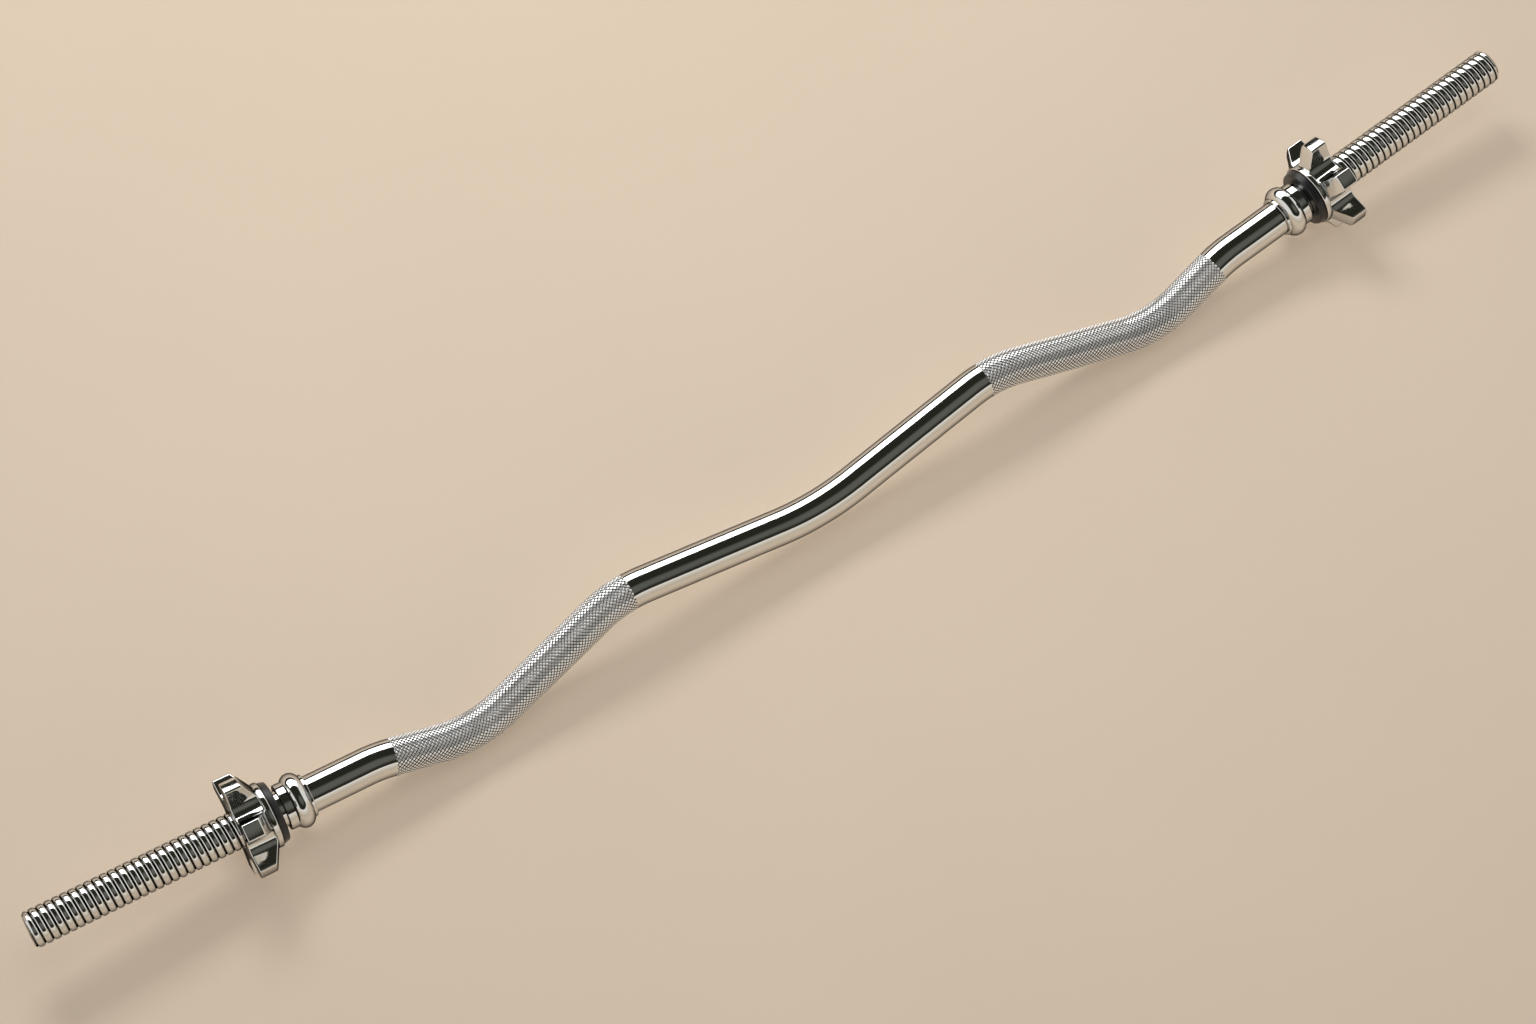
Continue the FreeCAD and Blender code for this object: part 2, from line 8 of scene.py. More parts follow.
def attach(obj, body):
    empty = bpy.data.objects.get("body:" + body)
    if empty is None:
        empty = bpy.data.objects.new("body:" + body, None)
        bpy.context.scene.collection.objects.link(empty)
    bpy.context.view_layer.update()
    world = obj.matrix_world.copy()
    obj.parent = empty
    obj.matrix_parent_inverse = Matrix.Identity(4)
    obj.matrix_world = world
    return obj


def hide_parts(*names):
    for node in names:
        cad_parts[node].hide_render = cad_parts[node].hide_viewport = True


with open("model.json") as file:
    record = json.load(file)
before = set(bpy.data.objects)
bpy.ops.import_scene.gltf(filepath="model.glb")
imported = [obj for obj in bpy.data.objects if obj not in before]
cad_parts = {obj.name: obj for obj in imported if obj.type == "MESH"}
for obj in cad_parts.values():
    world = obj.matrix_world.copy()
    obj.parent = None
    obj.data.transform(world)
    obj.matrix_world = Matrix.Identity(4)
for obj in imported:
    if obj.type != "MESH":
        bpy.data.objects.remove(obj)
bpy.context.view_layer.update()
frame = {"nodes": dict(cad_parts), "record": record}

# Bent bar, its plain middle: one steel rod, cold bent to a zigzag, polished and chromed. All the
# other pieces sit on it. The rod is drawn in stretches that meet ring to ring: this middle, the
# knurled grips, the plain shanks under the collars and the threaded ends.
MILLIMETRE = 0.001
BAR_RADIUS = 0.0127
BEND_SLOPES = np.radians([9.0, -16.2, 17.5, 5.7])
BEND_RUNS = np.array([0.155, 0.131, 0.070, 0.248])
BEND_RADII = np.array([0.200, 0.090, 0.090, 0.090])
TIP_CHAMFER = 0.0018
GRIP_END_SLOPE = np.radians(1.5)
LINE_STEP = 0.0002
MIDDLE_RINGS = 240
BAR_SIDES = 128
CREASE_ANGLE = np.radians(50.0)
CHROME = (0.80, 0.80, 0.785, 1.0)
# Near black edge tint: it darkens the chrome's reflection towards grazing angles, a painted dark outline
# along the silhouettes.
CHROME_EDGE = (0.02, 0.02, 0.02, 1.0)

# Distances along the bar from its middle at which bends begin and end, and the slopes there.
bend_turns = np.abs(np.diff(BEND_SLOPES, prepend=-BEND_SLOPES[0]))
bend_reach = BEND_RADII * np.tan(bend_turns / 2)
bend_arcs = BEND_RADII * bend_turns
bend_arcs[0] /= 2
straights = BEND_RUNS - bend_reach - np.append(bend_reach[1:], 0.0)
knots = np.append(0.0, np.cumsum(np.stack([bend_arcs, straights], axis=1)))
knot_slopes = np.append(0.0, np.repeat(BEND_SLOPES, 2))
half_length = knots[-1]
grip_inner_end = np.interp(-GRIP_END_SLOPE, -knot_slopes[2:4], knots[2:4])
grip_outer_end = knots[6]

mounts = {mount["name"]: mount for mount in frame["record"]["mounts"]}


def sleeve_axes(side):
    """Tip of a sleeve, two directions across it and the direction out along it, from its mount.

    The tip is half the mount's length and the chamfer out from the mount's middle. The first
    direction across is square to the bar's plane, and the second to it and to the sleeve.
    """
    mount = mounts[side + "_sleeve"]
    along = np.array(mount["axis"])
    length = mount["dims"]["length_mm"] * MILLIMETRE
    tip = np.array(mount["pos_m"]) + along * (length / 2 + TIP_CHAMFER)
    in_plane = np.array([0.0, along[1], along[2]])
    bar_normal = np.cross([1.0, 0.0, 0.0], in_plane / np.linalg.norm(in_plane))
    first = -bar_normal if side == "right" else bar_normal
    return tip, first, np.cross(along, first), along


right_tip, _, _, right_along = sleeve_axes("right")
ALONG = np.array([1.0, 0.0, 0.0])
PEAKWARD = np.array([0.0, right_along[1], right_along[2]])
PEAKWARD /= np.linalg.norm(PEAKWARD)
BAR_NORMAL = np.cross(ALONG, PEAKWARD)


def bar_line(distance):
    """Points and slopes of the bar's centre line at signed distances along it from the middle.

    The slope is piecewise linear in the distance, constant on straights and growing evenly on
    bends. The point is the sum of steps at the slope half way through each step. The left half
    is the right half mirrored.
    """
    steps = int(round(half_length / LINE_STEP))
    fine = np.linspace(0.0, half_length, steps + 1)
    middle_slopes = np.interp((fine[1:] + fine[:-1]) / 2, knots, knot_slopes)
    step = half_length / steps
    across = np.append(0.0, np.cumsum(np.cos(middle_slopes)) * step)
    rise = np.append(0.0, np.cumsum(np.sin(middle_slopes)) * step)
    middle_point = right_tip - across[-1] * ALONG - rise[-1] * PEAKWARD
    reach = np.abs(distance)
    x = np.sign(distance) * np.interp(reach, fine, across)
    y = np.interp(reach, fine, rise)
    slopes = np.sign(distance) * np.interp(reach, knots, knot_slopes)
    return middle_point + x[..., None] * ALONG + y[..., None] * PEAKWARD, slopes


def rod_grid(distance, angle, radius):
    """Grid of points round the bar, from arrays of distances along it, angles and radii.

    Each point is the centre point plus radius times (cos angle times the in-plane normal plus
    sin angle times the normal of the bar's plane).
    """
    points, slopes = bar_line(distance)
    normal = -np.sin(slopes)[..., None] * ALONG + np.cos(slopes)[..., None] * PEAKWARD
    outward = np.cos(angle)[..., None] * normal + np.sin(angle)[..., None] * BAR_NORMAL
    return points + np.asarray(radius)[..., None] * outward


def grid_faces(grid, joined=False):
    """Points, quads and triangles over a grid of points whose columns close round.

    A quad joins each two neighbouring rows and columns and looks outwards. Joined rows close on
    themselves like a ring. Any other grid gets a point in the middle of its first and of its last
    row, with triangles to it.
    """
    rows, columns = grid.shape[:2]
    index = np.arange(rows * columns).reshape(rows, columns)
    over = np.vstack([index, index[:1]]) if joined else index
    over = np.hstack([over, over[:, :1]])
    quads = np.stack([over[:-1, :-1], over[:-1, 1:], over[1:, 1:], over[1:, :-1]], axis=-1)
    quads = quads.reshape(-1, 4)
    points = grid.reshape(-1, 3)
    if joined:
        return points, quads, np.empty((0, 3), dtype=int)
    first = index[0]
    last = index[-1]
    pole = np.full(columns, rows * columns)
    start = np.stack([np.roll(first, -1), first, pole], axis=-1)
    end = np.stack([last, np.roll(last, -1), pole + 1], axis=-1)
    points = np.vstack([points, grid[0].mean(axis=0), grid[-1].mean(axis=0)])
    return points, quads, np.vstack([start, end])


def new_piece(name, points, quads, triangles):
    """Object with a mesh of these points, quads and triangles."""
    mesh = bpy.data.meshes.new(name)
    mesh.vertices.add(len(points))
    mesh.vertices.foreach_set("co", points.astype(np.float32).ravel())
    corners = np.concatenate([quads.ravel(), triangles.ravel()])
    quad_starts = 4 * np.arange(len(quads))
    triangle_starts = quads.size + 3 * np.arange(len(triangles))
    starts = np.concatenate([quad_starts, triangle_starts])
    mesh.loops.add(len(corners))
    mesh.loops.foreach_set("vertex_index", corners.astype(np.int32))
    mesh.polygons.add(len(starts))
    mesh.polygons.foreach_set("loop_start", starts.astype(np.int32))
    mesh.update(calc_edges=True)
    piece = bpy.data.objects.new(name, mesh)
    bpy.context.scene.collection.objects.link(piece)
    return piece


def skin(name, grid, joined=False):
    """Smooth piece over a grid of points, creased where its faces meet at a sharp angle."""
    piece = new_piece(name, *grid_faces(grid, joined))
    piece.data.shade_smooth()
    piece.data.set_sharp_from_angle(angle=CREASE_ANGLE)
    return piece


def add_node(tree, kind, settings=(), **sockets):
    """New shader node; each socket named is set to a value or joined to another node's output."""
    node = tree.nodes.new("ShaderNode" + kind)
    for key, value in dict(settings).items():
        setattr(node, key, value)
    for key, value in sockets.items():
        socket = node.inputs[key.replace("_", " ")]
        if isinstance(value, bpy.types.NodeSocket):
            tree.links.new(value, socket)
        else:
            socket.default_value = value
    return node


def new_finish(name):
    """Empty material and its node tree."""
    finish = bpy.data.materials.new(name)
    finish.use_nodes = True
    finish.node_tree.nodes.clear()
    return finish, finish.node_tree


def surfaced(finish, **sockets):
    """The finish, with a surface shader of these sockets joined to its output."""
    tree = finish.node_tree
    shader = add_node(tree, "BsdfPrincipled", **sockets)
    add_node(tree, "OutputMaterial", Surface=shader.outputs["BSDF"])
    return finish


def patches(tree, scale, detail, roughness=0.5):
    """Cloudy noise over the piece's own coordinates, with values about one half."""
    place = add_node(tree, "TexCoord").outputs["Object"]
    noise = add_node(tree, "TexNoise", Vector=place, Scale=scale, Detail=detail, Roughness=roughness)
    return noise.outputs["Fac"]


def gloss(tree, value, low, high, sharpest, dullest):
    """Roughness that goes evenly from sharpest to dullest as a value goes from low to high."""
    spread = add_node(
        tree, "MapRange", Value=value, From_Min=low, From_Max=high, To_Min=sharpest, To_Max=dullest)
    return spread.outputs["Result"]


def bumps(tree, value, strength, distance):
    """Normals of a surface that a value raises by a distance."""
    bump = add_node(tree, "Bump", Height=value, Strength=strength, Distance=distance)
    return bump.outputs["Normal"]


def polished_chrome():
    """Bright plating: near-mirror metal with faint polishing haze and fine hairline wipe marks."""
    finish, tree = new_finish("polished_chrome")
    haze = patches(tree, scale=38.0, detail=4.0, roughness=0.6)
    place = add_node(tree, "TexCoord").outputs["Object"]
    drawn = add_node(tree, "Mapping", Vector=place, Scale=(30.0, 900.0, 900.0)).outputs["Vector"]
    hairs = add_node(tree, "TexNoise", Vector=drawn, Scale=1.0, Detail=2.0).outputs["Fac"]
    return surfaced(
        finish, Base_Color=CHROME, Metallic=1.0, Specular_Tint=CHROME_EDGE,
        Roughness=gloss(tree, haze, low=0.35, high=0.75, sharpest=0.035, dullest=0.085),
        Normal=bumps(tree, hairs, strength=0.012, distance=0.0005))


def finished(piece, finish, body, node):
    """Gives a piece its finish and its body, and hides the solid that it stands for."""
    piece.data.materials.append(finish)
    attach(piece, body)
    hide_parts(node)


plain_chrome = polished_chrome()
middle_distance = np.linspace(-grip_inner_end, grip_inner_end, MIDDLE_RINGS)
bar_angle = np.linspace(0.0, 2 * np.pi, BAR_SIDES, endpoint=False)
middle = skin("bar_middle", rod_grid(middle_distance[:, None], bar_angle, BAR_RADIUS))
finished(middle, plain_chrome, "bar", "bar")

# Knurled grips: the same rod, rolled between two hardened wheels that press crossing grooves into
# it and leave rows of small flat-topped diamonds, then chromed. Each runs over the dip, from just
# past the peak to the sleeve bend.
SIDES = {"right": 1.0, "left": -1.0}
KNURL_RADIUS = 0.0131
KNURL_DEPTH = 0.00032
KNURL_FADE = 0.0005
DIAMONDS_ROUND = 28
DIAMOND_LENGTH = 0.0029
POINTS_A_DIAMOND = 4
SQUEEZE_SHARE = 0.03
LOWER_SHARE = 0.01
# Near black painted shade in the knurl's grooves, where the relief is low.
KNURL_GROOVE_SHADE = (0.012, 0.012, 0.012, 1.0)
KNURL_TOP = (0.97, 0.97, 0.96, 1.0)


def tones(tree, value, low, first, high, second):
    """Colour that goes evenly from the first to the second as a value goes from low to high."""
    ramp = add_node(tree, "ValToRGB", Fac=value)
    start, end = ramp.color_ramp.elements
    start.position = low
    start.color = first
    end.position = high
    end.color = second
    return ramp.outputs["Color"]


def relief_of(tree):
    """The relief kept on the points of a mesh, from 0 in a groove to 1 on a top."""
    return add_node(tree, "Attribute", {"attribute_name": "relief"}).outputs["Fac"]


def keep_relief(piece, relief):
    """Keeps the relief of a grid's points on the points of the mesh, for its finish to read."""
    values = np.zeros(len(piece.data.vertices), dtype=np.float32)
    values[:relief.size] = relief.ravel()
    attribute = piece.data.attributes.new("relief", "FLOAT", "POINT")
    attribute.data.foreach_set("value", values)


def knurl_chrome():
    """Plating over the knurl: bright on the diamonds, and near black down in the grooves as painted
    shade.
    """
    finish, tree = new_finish("knurl_chrome")
    wear = patches(tree, scale=55.0, detail=3.0)
    return surfaced(
        finish, Metallic=0.70,
        Base_Color=tones(
            tree, relief_of(tree), low=0.35, first=KNURL_GROOVE_SHADE, high=0.85, second=KNURL_TOP),
        Roughness=gloss(tree, wear, low=0.3, high=0.7, sharpest=0.13, dullest=0.20))


def knurl_grid(first, last):
    """Grid of a knurled stretch and the relief of its points, 0 in a groove and 1 on a diamond.

    The two sets of grooves lie at whole numbers of turn plus and minus length, both counted in
    diamonds. From a groove the relief rises to the flat top at the first point beside it, and a
    diamond has the lower of the two. Each groove is narrowed by moving the points beside it: the
    sum and the difference, v, become v minus squeeze times sin(2 pi v). It all fades to none over
    a short length at both ends.
    """
    rows = int(round(POINTS_A_DIAMOND * (last - first) / DIAMOND_LENGTH)) + 1
    distance = np.linspace(first, last, rows)[:, None]
    turn = np.arange(POINTS_A_DIAMOND * DIAMONDS_ROUND)[None, :]
    length = np.arange(rows)[:, None]
    half = POINTS_A_DIAMOND // 2
    from_falling = np.abs((turn + length + half) % POINTS_A_DIAMOND - half)
    from_rising = np.abs((turn - length + half) % POINTS_A_DIAMOND - half)
    relief = np.clip(np.minimum(from_falling, from_rising), 0.0, 1.0)
    fade = np.clip(np.minimum(distance - first, last - distance) / KNURL_FADE, 0.0, 1.0)
    radius = BAR_RADIUS + fade * (KNURL_RADIUS - BAR_RADIUS - KNURL_DEPTH * (1.0 - relief))
    around = 2 * np.pi * turn / POINTS_A_DIAMOND
    along = 2 * np.pi * length / POINTS_A_DIAMOND
    squeeze = SQUEEZE_SHARE * fade
    angle = (around - 2 * np.pi * squeeze * np.sin(around) * np.cos(along)) / DIAMONDS_ROUND
    shift = squeeze * DIAMOND_LENGTH * np.cos(around) * np.sin(along)
    return rod_grid(distance - shift, angle, radius), relief


def parted(quads, relief):
    """Two triangles for each quad, on both sides of its more level diagonal, or of the lower one.

    A diagonal's slant is the difference of the relief at its ends, plus a small share of their sum.
    """
    rise = relief.ravel()[quads]
    slant = np.abs(rise[:, :2] - rise[:, 2:]) + LOWER_SHARE * (rise[:, :2] + rise[:, 2:])
    quads = np.where(slant[:, :1] > slant[:, 1:], np.roll(quads, -1, axis=1), quads)
    return np.vstack([quads[:, [0, 1, 2]], quads[:, [0, 2, 3]]])


knurl = knurl_chrome()
for side, sign in SIDES.items():
    grid, relief = knurl_grid(*sorted((sign * grip_inner_end, sign * grip_outer_end)))
    points, quads, ends = grid_faces(grid)
    facets = np.vstack([parted(quads, relief), ends])
    grip = new_piece(side + "_grip", points, np.empty((0, 4), dtype=int), facets)
    grip.data.shade_flat()
    keep_relief(grip, relief)
    finished(grip, knurl, "bar", "bar")

# Plain shanks: the polished and chromed rod between the grip and the thread, which carries the
# sleeve bend. The inner collar is pushed on its outer end.
THREAD_LENGTH = 0.171
SHANK_RINGS = 60

thread_start = half_length - THREAD_LENGTH
for side, sign in SIDES.items():
    distance = np.sort(sign * np.linspace(grip_outer_end, thread_start, SHANK_RINGS))
    shank = skin(side + "_shank", rod_grid(distance[:, None], bar_angle, BAR_RADIUS))
    finished(shank, plain_chrome, "bar", "bar")

# Threaded ends: a coarse right-hand thread rolled into the rod, with wide crests rounded at their
# edges and narrow grooves. The end is faced off, chamfered and has the lathe's centre hole.
THREAD_PITCH = 0.0055
GROOVE_DEPTH = 0.0013
GROOVE_HALF_WIDTH = 0.00105
THREAD_RUN_OUT = 0.0015
CREST_DROP = 0.00036
ROWS_PER_TURN = 28
THREAD_SIDES = 96
CENTRE_HOLE_RADIUS = 0.0022
CENTRE_HOLE_DEPTH = 0.0026
CENTRE_HOLE_POINT = 0.0002
FACE_EDGE = 0.0004
# Dark grey painted shade in the thread's grooves, where the relief is low.
THREAD_GROOVE_SHADE = (0.05, 0.05, 0.045, 1.0)


def thread_chrome():
    """Plating over the thread: bright crests, and painted shade darkening the grooves."""
    finish, tree = new_finish("thread_chrome")
    haze = patches(tree, scale=70.0, detail=3.0)
    return surfaced(
        finish, Metallic=1.0, Specular_Tint=CHROME_EDGE,
        Base_Color=tones(
            tree, relief_of(tree), low=0.25, first=THREAD_GROOVE_SHADE, high=0.72, second=CHROME),
        Roughness=gloss(tree, haze, low=0.3, high=0.75, sharpest=0.05, dullest=0.12))


def turned_grid(axes, radius, height, angle):
    """Grid of points about a sleeve, from arrays of radii, heights over its tip and angles.

    Each point is the tip plus height along the sleeve plus radius times (cos angle times the
    first direction across plus sin angle times the second).
    """
    tip, first, second, along = axes
    outward = np.cos(angle)[..., None] * first + np.sin(angle)[..., None] * second
    return tip + height[..., None] * along + radius[..., None] * outward


def from_groove(height, angle):
    """Distance along the axis to the nearest turn of the groove, at heights over the sleeve's tip.

    The groove gains a pitch with each turn, so it lies where (height plus thread length) over
    pitch minus angle over 2 pi is a whole number.
    """
    turns = (height + THREAD_LENGTH) / THREAD_PITCH - angle / (2 * np.pi)
    return np.abs((turns + 0.5) % 1.0 - 0.5) * THREAD_PITCH


def thread_grid(axes):
    """Grid of a threaded end and its relief, 0 on a groove's floor and 1 on a crest.

    Away from the groove's helix, by a distance along the axis, the groove rises as half a cosine
    to the crest's edge. The crest drops from its middle to its edges by the fourth power. The
    radius is that of the lower of this and the chamfer at the tip. The end face and its centre
    hole are a few more rows.
    """
    rows = int(round(THREAD_LENGTH / THREAD_PITCH * ROWS_PER_TURN)) + 1
    height = np.linspace(-THREAD_LENGTH, 0.0, rows)[:, None]
    angle = np.linspace(0.0, 2 * np.pi, THREAD_SIDES, endpoint=False)
    aside = from_groove(height, angle)
    crest_half = THREAD_PITCH / 2 - GROOVE_HALF_WIDTH
    on_crest = np.clip((THREAD_PITCH / 2 - aside) / crest_half, 0.0, 1.0)
    in_groove = np.clip(1.0 - aside / GROOVE_HALF_WIDTH, 0.0, 1.0)
    groove = (GROOVE_DEPTH - CREST_DROP) * (1.0 - np.cos(np.pi * in_groove)) / 2
    begin = np.clip((height + THREAD_LENGTH) / THREAD_RUN_OUT, 0.0, 1.0)
    depth = begin * (CREST_DROP * on_crest ** 4 + groove)
    radius = BAR_RADIUS - np.maximum(depth, TIP_CHAMFER + height)
    relief = 1.0 - depth / GROOVE_DEPTH
    face = np.array([
        (BAR_RADIUS - TIP_CHAMFER - FACE_EDGE, 0.0),
        (CENTRE_HOLE_RADIUS + FACE_EDGE, 0.0),
        (CENTRE_HOLE_RADIUS, -FACE_EDGE),
        (CENTRE_HOLE_POINT, -CENTRE_HOLE_DEPTH),
    ])
    radius = np.vstack([radius, np.repeat(face[:, :1], THREAD_SIDES, axis=1)])
    height = np.vstack([height, face[:, 1:]])
    relief = np.vstack([relief, np.ones((len(face), THREAD_SIDES))])
    return turned_grid(axes, radius, height, angle), relief


threading = thread_chrome()
for side in SIDES:
    grid, relief = thread_grid(sleeve_axes(side))
    thread = skin(side + "_thread", grid)
    keep_relief(thread, relief)
    finished(thread, threading, "bar", "bar")

# Inner collars: turned steel rings, chromed, with a ball-shaped bulb towards the grip and a
# narrower neck whose face stops the plates. Each is pushed on the shank and held by a cross pin.
LOADING_LENGTH = 0.178
COLLAR_CLEARANCE = 0.00002
COLLAR_BORE = BAR_RADIUS + COLLAR_CLEARANCE
NECK_WALL = 0.0033
NECK_RADIUS = COLLAR_BORE + NECK_WALL
NECK_LENGTH = 0.0046
BULB_WALL = 0.0065
BULB_WIDTH = 0.0134
RIM_WALL = 0.0021
RIM_RADIUS = COLLAR_BORE + RIM_WALL
RIM_LENGTH = 0.0016
COLLAR_EDGE = 0.0006
CORNER_STEPS = 6
BULB_STEPS = 40
TURNED_SIDES = 160


def corner_curve(before, corner, after, radius):
    """Points of a rounded corner, or of an array of corners, between the points before and after.

    It starts and ends where an arc of the radius would touch the two sides, radius over tan(half
    the corner's angle) from the corner. In between, at a share s, it is the quadratic curve
    (1 - s)^2 start + 2 s (1 - s) corner + s^2 end.
    """
    back = (before - corner) / np.linalg.norm(before - corner, axis=-1, keepdims=True)
    ahead = (after - corner) / np.linalg.norm(after - corner, axis=-1, keepdims=True)
    half_angle = np.arccos(np.clip((back * ahead).sum(axis=-1), -1.0, 1.0)) / 2
    touch = (radius / np.tan(half_angle))[..., None]
    start = (corner + back * touch)[..., None, :]
    end = (corner + ahead * touch)[..., None, :]
    share = np.linspace(0.0, 1.0, CORNER_STEPS)[:, None]
    pull = 2 * share * (1 - share) * corner[..., None, :]
    return (1 - share) ** 2 * start + pull + share ** 2 * end


def turned_piece(name, side, outline):
    """Ring turned about a sleeve from a closed outline of radii and heights over the tip."""
    angle = np.linspace(0.0, 2 * np.pi, TURNED_SIDES, endpoint=False)
    grid = turned_grid(sleeve_axes(side), outline[:, :1], outline[:, 1:], angle)
    return skin(name, grid, joined=True)


def collar_outline():
    """Bore, rim, bulb and neck of a collar, as a closed outline of radii and heights.

    The bulb is an arc through the bore's radius at both ends of its width and the crest half way.
    """
    face = -LOADING_LENGTH
    bulb_start = face - NECK_LENGTH
    bulb_end = bulb_start - BULB_WIDTH
    back = bulb_end - RIM_LENGTH
    bulb_radius = (BULB_WALL + BULB_WIDTH ** 2 / (4 * BULB_WALL)) / 2
    bulb_centre = COLLAR_BORE + BULB_WALL - bulb_radius
    neck_angle = np.arcsin((NECK_RADIUS - bulb_centre) / bulb_radius)
    rim_angle = np.pi - np.arcsin((RIM_RADIUS - bulb_centre) / bulb_radius)
    sweep = np.linspace(neck_angle, rim_angle, BULB_STEPS)
    bulb = np.stack([
        bulb_centre + bulb_radius * np.sin(sweep),
        (bulb_start + bulb_end) / 2 + bulb_radius * np.cos(sweep)], axis=1)
    bore_face = np.array([COLLAR_BORE, face])
    bore_back = np.array([COLLAR_BORE, back])
    neck_face = np.array([NECK_RADIUS, face])
    neck_end = np.array([NECK_RADIUS, bulb_start])
    rim_start = np.array([RIM_RADIUS, bulb_end])
    rim_back = np.array([RIM_RADIUS, back])
    neck_edge = corner_curve(bore_face, neck_face, neck_end, COLLAR_EDGE)
    rim_edge = corner_curve(rim_start, rim_back, bore_back, COLLAR_EDGE)
    return np.vstack([neck_edge, bulb, rim_edge, bore_back, bore_face])[::-1]


for side in SIDES:
    collar = turned_piece(side + "_collar", side, collar_outline())
    finished(collar, plain_chrome, "bar", side + "_inner_collar")

# Cross pins: ground steel dowels driven through the collars into the bar, sunk a little below the
# bulb. The solids' own shape is right, so only their finish is given.
PIN_STEEL = (0.52, 0.52, 0.53, 1.0)


def ground_steel():
    """Ground dowel steel: grey and satin, with a fine unevenness from the grinding wheel."""
    finish, tree = new_finish("ground_steel")
    marks = patches(tree, scale=2500.0, detail=2.0)
    return surfaced(
        finish, Base_Color=PIN_STEEL, Metallic=1.0,
        Roughness=gloss(tree, marks, low=0.0, high=1.0, sharpest=0.22, dullest=0.38))


pin_finish = ground_steel()
for side in SIDES:
    pin = frame["nodes"][side + "_collar_pin"]
    pin.data.materials.clear()
    pin.data.materials.append(pin_finish)

# Rubber rings: moulded black rubber, tapered towards the plates, with a shoulder that is pressed
# into the nut's recess. They grip the plates when the nut is done up.
RING_GAP = 0.0034
RING_CLEARANCE = 0.0005
RING_BORE = BAR_RADIUS + RING_CLEARANCE
RING_THICKNESS = 0.0050
RING_BACK_WALL = 0.0088
RING_FRONT_WALL = 0.0073
SHOULDER_WALL = 0.0048
SHOULDER_RADIUS = RING_BORE + SHOULDER_WALL
SHOULDER_LENGTH = 0.0026
RING_EDGES = np.array([0.0004, 0.0012, 0.0007, 0.0003, 0.0003, 0.0003])
RUBBER = (0.006, 0.006, 0.007, 1.0)
RUBBER_DUST = (0.018, 0.018, 0.017, 1.0)

ring_face = -LOADING_LENGTH + RING_GAP
ring_back = ring_face + RING_THICKNESS


def black_rubber():
    """Moulded rubber: near black, half glossy, with a fine grain and paler dust rubbed into it."""
    finish, tree = new_finish("black_rubber")
    dust = patches(tree, scale=160.0, detail=5.0)
    grain = patches(tree, scale=1800.0, detail=2.0)
    return surfaced(
        finish, Base_Color=tones(tree, dust, low=0.4, first=RUBBER, high=0.8, second=RUBBER_DUST),
        Roughness=gloss(tree, dust, low=0.0, high=1.0, sharpest=0.24, dullest=0.48),
        Normal=bumps(tree, grain, strength=0.12, distance=0.0002))


def ring_outline():
    """Tapered ring and its shoulder, as a closed outline of radii and heights, each corner rounded."""
    corners = np.array([
        (RING_BORE, ring_face),
        (RING_BORE + RING_FRONT_WALL, ring_face),
        (RING_BORE + RING_BACK_WALL, ring_back),
        (SHOULDER_RADIUS, ring_back),
        (SHOULDER_RADIUS, ring_back + SHOULDER_LENGTH),
        (RING_BORE, ring_back + SHOULDER_LENGTH),
    ])
    before = np.roll(corners, 1, axis=0)
    after = np.roll(corners, -1, axis=0)
    return corner_curve(before, corners, after, RING_EDGES).reshape(-1, 2)


rubber = black_rubber()
for side in SIDES:
    ring = turned_piece(side + "_ring", side, ring_outline())
    finished(ring, rubber, side + "_ring", side + "_rubber_ring")

# Star nuts: cast iron, ground and chromed, with a round flange on the plate side and six lobes for
# the fingers, parted by round valleys. The bore carries the thread that runs on the bar's.
SEAT_CLEARANCE = 0.0003
RECESS_RADIUS = SHOULDER_RADIUS + SEAT_CLEARANCE
RECESS_DEPTH = SHOULDER_LENGTH + SEAT_CLEARANCE
RECESS_EDGE = 0.0003
VALLEY_WALL = 0.0027
VALLEY_ROOT = RECESS_RADIUS + VALLEY_WALL
VALLEY_RADIUS = 0.0085
FLANGE_WALL = 0.0047
FLANGE_RADIUS = RECESS_RADIUS + FLANGE_WALL
FLANGE_THICKNESS = 0.0040
FLANGE_LAND = 0.0004
FLANGE_BREAK = 0.0002
FLANGE_BREAK_HEIGHT = 0.0003
BEVEL_LENGTH = 0.0076
BEVEL_SEAT = 0.0006
BEVEL_SHARES = np.array([0.0, 0.33, 0.66, 1.0])
LOBES = 6
LOBE_REACH = 0.0155
LOBE_TIP = VALLEY_ROOT + LOBE_REACH
LOBE_THICKNESS = 0.0120
LOBE_CORNER = 0.0016
NUT_LENGTH = FLANGE_THICKNESS + BEVEL_LENGTH + LOBE_THICKNESS
NUT_EDGE = 0.0009
RIM_BACK_SHARE = 1.2
BEVEL_INSET_SHARE = 0.9
FOOT_INSET_SHARES = np.array([0.45, 0.15, 0.0])
FOOT_RISE_SHARES = np.array([0.0, 0.35, 1.0])
FOOT_SINK = np.array([0.00005, 0.0, 0.0])
WALL_END_SHARE = 1.3
FACE_START_SHARE = 1.4
THREAD_CLEARANCE = 0.00035
NUT_BORE = BAR_RADIUS - GROOVE_DEPTH + THREAD_CLEARANCE
NUT_THREAD = BAR_RADIUS + THREAD_CLEARANCE
BORE_CHAMFER = 0.0012
BORE_LAND = 0.0008
BORE_LIP = 0.0001
RIDGE_WIDTH_SHARE = 0.8
RIDGE_TOP_SHARE = 0.35
VALLEY_STEPS = 14
FLANK_STEPS = 12
LOBE_CORNER_STEPS = 10
LOBE_TIP_STEPS = 8
EDGE_STEPS = 6
BORE_ROWS = 70

nut_face = ring_back + SEAT_CLEARANCE


def cast_chrome():
    """Plated casting: mirror bright but a little uneven, as the ground casting under it is."""
    finish, tree = new_finish("cast_chrome")
    swell = patches(tree, scale=130.0, detail=2.0)
    haze = patches(tree, scale=300.0, detail=4.0)
    return surfaced(
        finish, Base_Color=CHROME, Metallic=1.0, Specular_Tint=CHROME_EDGE,
        Roughness=gloss(tree, haze, low=0.3, high=0.75, sharpest=0.05, dullest=0.14),
        Normal=bumps(tree, swell, strength=0.10, distance=0.001))


